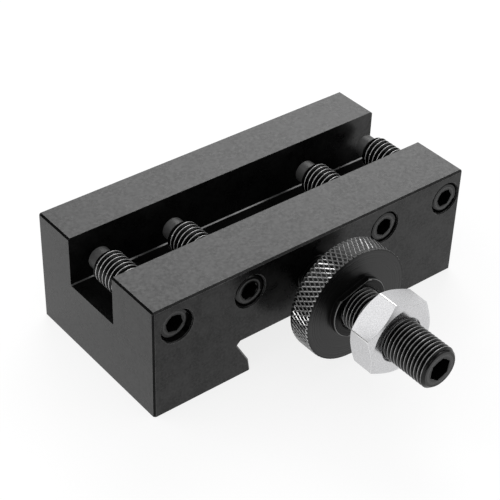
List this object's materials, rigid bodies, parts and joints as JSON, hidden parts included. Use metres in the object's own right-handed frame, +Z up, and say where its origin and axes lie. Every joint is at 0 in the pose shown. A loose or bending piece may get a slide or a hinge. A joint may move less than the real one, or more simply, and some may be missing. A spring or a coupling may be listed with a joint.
{
  "type": "quick change tool holder",
  "caption": "Steel lathe tool holder with a tool slot, clamp screws, a dovetail for a quick change tool post, and a knurled height nut on a stud.",
  "frame": {"origin": "on the base plane, at the middle of the dovetail's length and width", "axes": "+X along the tool slot, +Y from the stud side to the back, +Z up through the open slot"},
  "size_m": [0.0888, 0.0833, 0.0325],
  "materials": {
    "block_steel": "satin black oxide, ground",
    "screw_steel": "oiled black oxide",
    "stud_steel": "oiled black oxide",
    "knurl_steel": "turned, black oxide",
    "nut_zinc": "bright zinc plate"
  },
  "bodies": {
    "holder": {"holder_body": "block_steel", "height_stud": "stud_steel"},
    "knurled_nut": {"knurled_nut": "knurl_steel"},
    "lock_nut": {"lock_nut": "nut_zinc"},
    "clamp_screw_1": {"clamp_screw_1": "screw_steel"},
    "clamp_screw_2": {"clamp_screw_2": "screw_steel"},
    "clamp_screw_3": {"clamp_screw_3": "screw_steel"},
    "clamp_screw_4": {"clamp_screw_4": "screw_steel"}
  },
  "joints": [
    {"name": "clamp_screw_1_feed", "type": "slide", "parent": "holder", "child": "clamp_screw_1", "axis": [0, 1, 0], "range_m": [-0.01475, 0.002]},
    {"name": "clamp_screw_2_feed", "type": "slide", "parent": "holder", "child": "clamp_screw_2", "axis": [0, 1, 0], "range_m": [-0.01395, 0.0028]},
    {"name": "clamp_screw_3_feed", "type": "slide", "parent": "holder", "child": "clamp_screw_3", "axis": [0, 1, 0], "range_m": [-0.01395, 0.0028]},
    {"name": "clamp_screw_4_feed", "type": "slide", "parent": "holder", "child": "clamp_screw_4", "axis": [0, 1, 0], "range_m": [-0.01395, 0.0028]},
    {"name": "height_nut_feed", "type": "slide", "parent": "holder", "child": "knurled_nut", "axis": [0, -1, 0], "range_m": [-0.00755, 0.0075]},
    {"name": "lock_nut_feed", "type": "slide", "parent": "knurled_nut", "child": "lock_nut", "axis": [0, -1, 0], "range_m": [-0.00605, 0.0075]}
  ]
}
